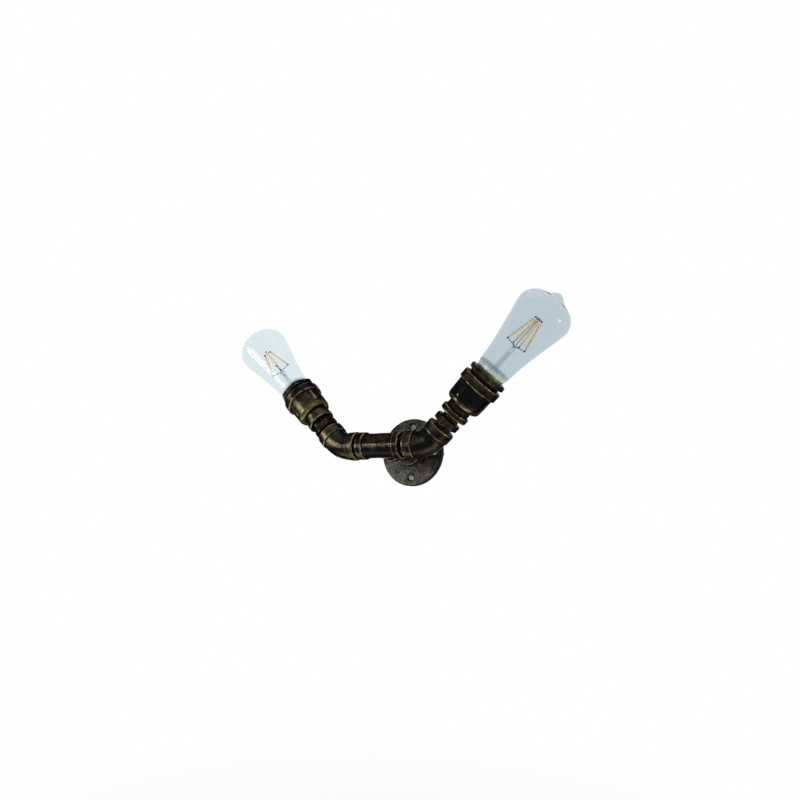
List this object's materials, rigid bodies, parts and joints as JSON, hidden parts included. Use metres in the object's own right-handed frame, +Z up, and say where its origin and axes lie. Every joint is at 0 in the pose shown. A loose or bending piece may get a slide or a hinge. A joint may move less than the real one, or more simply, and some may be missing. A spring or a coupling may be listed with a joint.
{
  "type": "wall light",
  "caption": "Wall light of aged iron pipe fittings: a round flange carries a tee with two 45 degree arms, each ending in a lampholder with a clear pear-shaped filament lamp.",
  "frame": {"origin": "centre of the flange's back face, on the wall", "axes": "+X along the wall towards the right arm, +Y into the wall, +Z up"},
  "size_m": [0.441, 0.134, 0.2045],
  "materials": {
    "aged_iron": "blackened iron rubbed through to antique brass at the edges",
    "bright_screw": "zinc plated",
    "porcelain": "white glazed porcelain, opaque",
    "brass": "bright",
    "clear_glass": "clear",
    "stem_glass": "clear",
    "black_insulator": "black glass, opaque",
    "solder": "dull solder",
    "nickel_wire": "nickel",
    "filament_phosphor": "unlit yellow phosphor"
  },
  "bodies": {
    "wall_mount": {"wall_flange": "aged_iron", "wall_screws": "bright_screw", "wall_nipple": "aged_iron"},
    "run": {"tee": "aged_iron", "left_run_nipple": "aged_iron", "right_run_nipple": "aged_iron"},
    "left_arm": {"left_elbow": "aged_iron", "left_hex_nipple": "aged_iron", "left_reducing_socket": "aged_iron", "left_hex_bushing": "aged_iron", "left_lampholder_body": "porcelain", "left_screw_shell": "brass", "left_centre_contact": "brass", "left_terminal_screws": "brass"},
    "left_bulb_foot": {"left_bulb_insulator": "black_insulator", "left_bulb_tip_contact": "solder"},
    "left_bulb": {"left_bulb_glass": "clear_glass", "left_bulb_cap": "brass", "left_bulb_stem": "stem_glass", "left_bulb_support_wires": "nickel_wire", "left_bulb_filaments": "filament_phosphor"},
    "right_arm": {"right_elbow": "aged_iron", "right_hex_nipple": "aged_iron", "right_reducing_socket": "aged_iron", "right_hex_bushing": "aged_iron", "right_lampholder_body": "porcelain", "right_screw_shell": "brass", "right_centre_contact": "brass", "right_terminal_screws": "brass"},
    "right_bulb_foot": {"right_bulb_insulator": "black_insulator", "right_bulb_tip_contact": "solder"},
    "right_bulb": {"right_bulb_glass": "clear_glass", "right_bulb_cap": "brass", "right_bulb_stem": "stem_glass", "right_bulb_support_wires": "nickel_wire", "right_bulb_filaments": "filament_phosphor"}
  },
  "joints": [
    {"name": "lamp_turn", "type": "hinge", "parent": "wall_mount", "child": "run", "pos_m": [0, -0.078, 0], "axis": [0, -1, 0], "range_deg": [-180, 180]},
    {"name": "left_arm_turn", "type": "hinge", "parent": "run", "child": "left_arm", "pos_m": [-0.0575, -0.078, 0], "axis": [1, 0, 0], "range_deg": [-15, 195]},
    {"name": "left_bulb_feed", "type": "slide", "parent": "left_arm", "child": "left_bulb_foot", "axis": [-0.7071, 0, 0.7071], "range_m": [0, 0.01814]},
    {"name": "left_bulb_turn", "type": "hinge", "parent": "left_bulb_foot", "child": "left_bulb", "pos_m": [-0.0575, -0.078, 0], "axis": [-0.7071, 0, 0.7071], "range_deg": [0, 1800]},
    {"name": "right_arm_turn", "type": "hinge", "parent": "run", "child": "right_arm", "pos_m": [0.0595, -0.078, 0], "axis": [1, 0, 0], "range_deg": [-15, 195]},
    {"name": "right_bulb_feed", "type": "slide", "parent": "right_arm", "child": "right_bulb_foot", "axis": [0.7071, 0, 0.7071], "range_m": [0, 0.01814]},
    {"name": "right_bulb_turn", "type": "hinge", "parent": "right_bulb_foot", "child": "right_bulb", "pos_m": [0.0595, -0.078, 0], "axis": [0.7071, 0, 0.7071], "range_deg": [0, 1800]}
  ],
  "couplings": [
    {"joint": "left_bulb_turn", "follows": "left_bulb_feed", "rad_per_m": 1731.6},
    {"joint": "right_bulb_turn", "follows": "right_bulb_feed", "rad_per_m": 1731.6}
  ]
}
